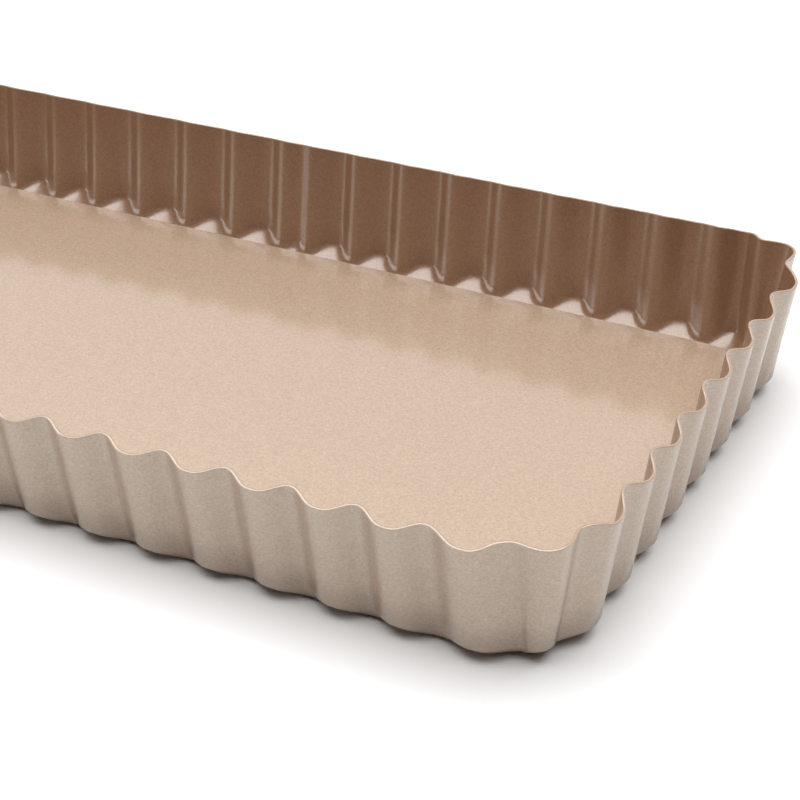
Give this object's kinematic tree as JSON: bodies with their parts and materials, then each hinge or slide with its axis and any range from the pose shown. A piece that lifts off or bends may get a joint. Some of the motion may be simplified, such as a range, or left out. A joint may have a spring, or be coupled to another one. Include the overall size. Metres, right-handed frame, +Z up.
{
  "type": "rectangular tart pan",
  "caption": "Long rectangular tart pan with a fluted, flaring wall and a loose flat bottom that lies on an inner ledge and lifts out.",
  "frame": {"origin": "on the surface the pan stands on, under the middle of the pan", "axes": "+X along the long sides, +Y along the short ends, +Z up out of the pan"},
  "size_m": [0.3558, 0.1298, 0.0267],
  "materials": {
    "frame_coating": "satin champagne non-stick coating with a fine metallic speckle on thin carbon steel",
    "bottom_coating": "satin champagne non-stick coating with a fine metallic speckle on thin carbon steel"
  },
  "bodies": {
    "frame": {"fluted_frame": "frame_coating"},
    "bottom": {"loose_bottom": "bottom_coating"}
  },
  "joints": [
    {"name": "bottom_lift", "type": "slide", "parent": "frame", "child": "bottom", "axis": [0, 0, 1], "range_m": [0, 0.06]}
  ]
}
